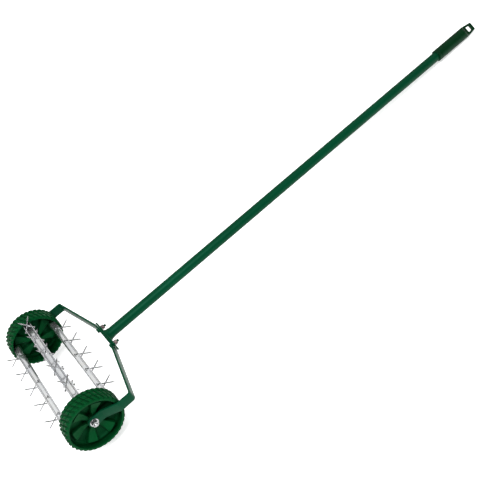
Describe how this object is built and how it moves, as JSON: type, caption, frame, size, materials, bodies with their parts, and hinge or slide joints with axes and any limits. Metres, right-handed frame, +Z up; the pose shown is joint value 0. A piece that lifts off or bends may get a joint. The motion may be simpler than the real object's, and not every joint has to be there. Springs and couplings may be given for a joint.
{
  "type": "rolling lawn aerator",
  "caption": "Push-along lawn aerator: long tube handle with a moulded grip, bent flat-bar fork, and a free-turning roller of moulded wheels joined by channels that carry crossed spikes.",
  "frame": {"origin": "on the ground plane, under the middle of the aerator's footprint", "axes": "+X from the roller to the end of the handle, +Y along the axle, +Z up; the aerator lies as it rests on flat ground, on its lowest spikes and the end of its grip"},
  "size_m": [1.4268, 0.399, 0.1703],
  "materials": {
    "green_paint": "smooth glossy dark green powder coat",
    "wheel_plastic": "moulded dark green plastic, semi-matt",
    "grip_plastic": "very dark green moulded grip, satin",
    "zinc_steel": "bright zinc plated steel",
    "dark_steel": "dark, oiled fasteners"
  },
  "bodies": {
    "frame": {"handle_tube": "green_paint", "handle_grip": "grip_plastic", "bracket_plate": "green_paint", "fork": "green_paint", "bracket_bolt_near": "green_paint", "bracket_washer_near": "dark_steel", "bracket_nut_near": "dark_steel", "bracket_bolt_far": "green_paint", "bracket_washer_far": "dark_steel", "bracket_nut_far": "dark_steel", "axle_tube": "zinc_steel", "axle_rod": "zinc_steel", "hub_spacer_near": "zinc_steel", "axle_washer_near": "zinc_steel", "axle_nut_near": "zinc_steel", "hub_spacer_far": "zinc_steel", "axle_washer_far": "zinc_steel", "axle_nut_far": "zinc_steel"},
    "roller": {"wheel_near": "wheel_plastic", "wheel_far": "wheel_plastic", "spike_channel_a": "zinc_steel", "spike_pair_a1": "zinc_steel", "spike_pair_a2": "zinc_steel", "spike_pair_a3": "zinc_steel", "spike_pair_a4": "zinc_steel", "spike_pair_a5": "zinc_steel", "spike_channel_b": "zinc_steel", "spike_pair_b1": "zinc_steel", "spike_pair_b2": "zinc_steel", "spike_pair_b3": "zinc_steel", "spike_pair_b4": "zinc_steel", "spike_pair_b5": "zinc_steel", "spike_channel_c": "zinc_steel", "spike_pair_c1": "zinc_steel", "spike_pair_c2": "zinc_steel", "spike_pair_c3": "zinc_steel", "spike_pair_c4": "zinc_steel", "spike_pair_c5": "zinc_steel", "spike_channel_d": "zinc_steel", "spike_pair_d1": "zinc_steel", "spike_pair_d2": "zinc_steel", "spike_pair_d3": "zinc_steel", "spike_pair_d4": "zinc_steel", "spike_pair_d5": "zinc_steel"}
  },
  "joints": [
    {"name": "roller_spin", "type": "hinge", "parent": "frame", "child": "roller", "pos_m": [-0.62819, 0, 0.08516], "axis": [0, 1, 0], "continuous": true}
  ]
}
